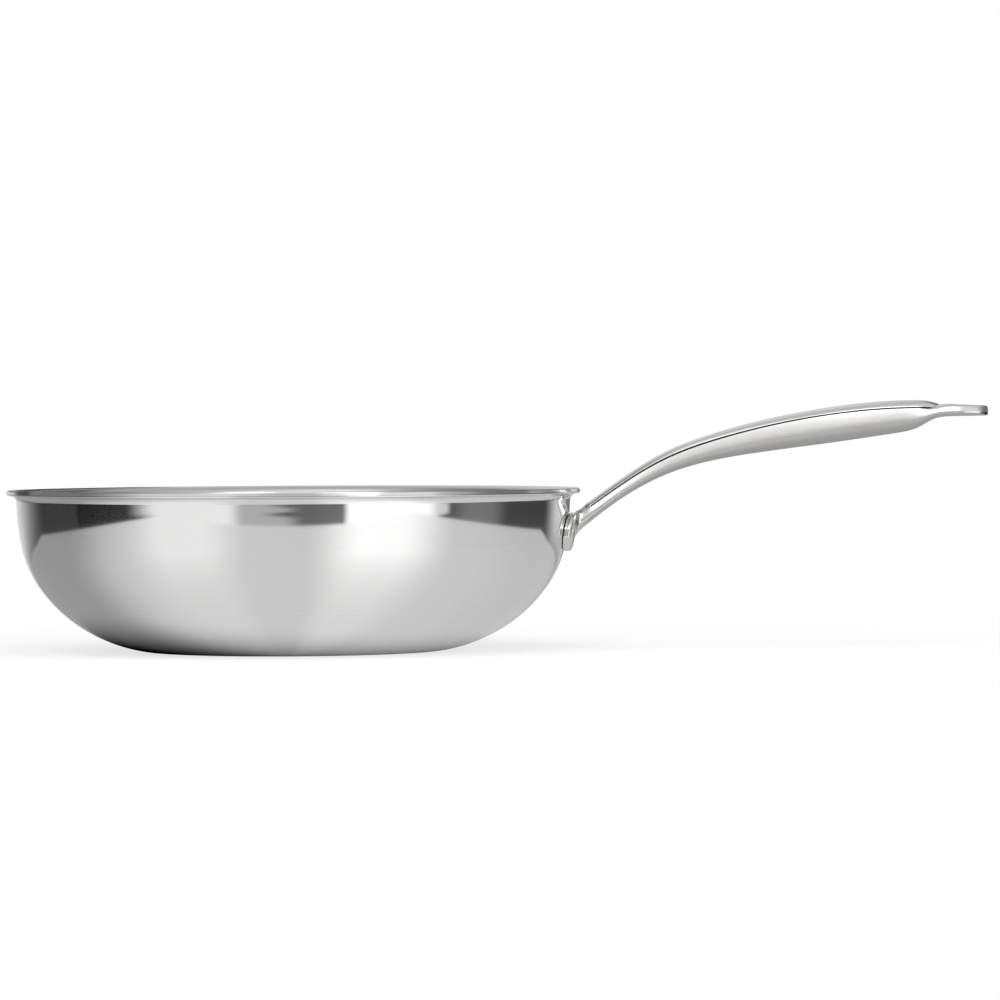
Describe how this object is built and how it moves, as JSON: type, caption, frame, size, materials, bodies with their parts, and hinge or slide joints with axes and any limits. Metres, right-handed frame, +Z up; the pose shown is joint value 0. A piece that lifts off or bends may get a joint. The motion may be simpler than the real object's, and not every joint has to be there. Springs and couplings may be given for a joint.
{
  "type": "wok",
  "caption": "Stainless steel wok with a flat-based clad bowl, a flared rim and a long riveted hollow handle with a hanging slot, for stir-frying on a hob.",
  "frame": {"origin": "centre of the base's flat underside", "axes": "+Z up out of the bowl, +X from the bowl's axis along the handle, +Y by the right-hand rule"},
  "size_m": [0.4901, 0.2862, 0.1227],
  "materials": {
    "polished_steel": "polished",
    "satin_lining": "satin",
    "satin_handle": "satin",
    "aluminium": "satin"
  },
  "bodies": {
    "root": {"outer_skin": "polished_steel", "aluminium_core": "aluminium", "inner_lining": "satin_lining", "handle_body": "satin_handle", "handle_cover": "polished_steel", "rivet_left": "polished_steel", "rivet_right": "polished_steel"}
  },
  "joints": []
}
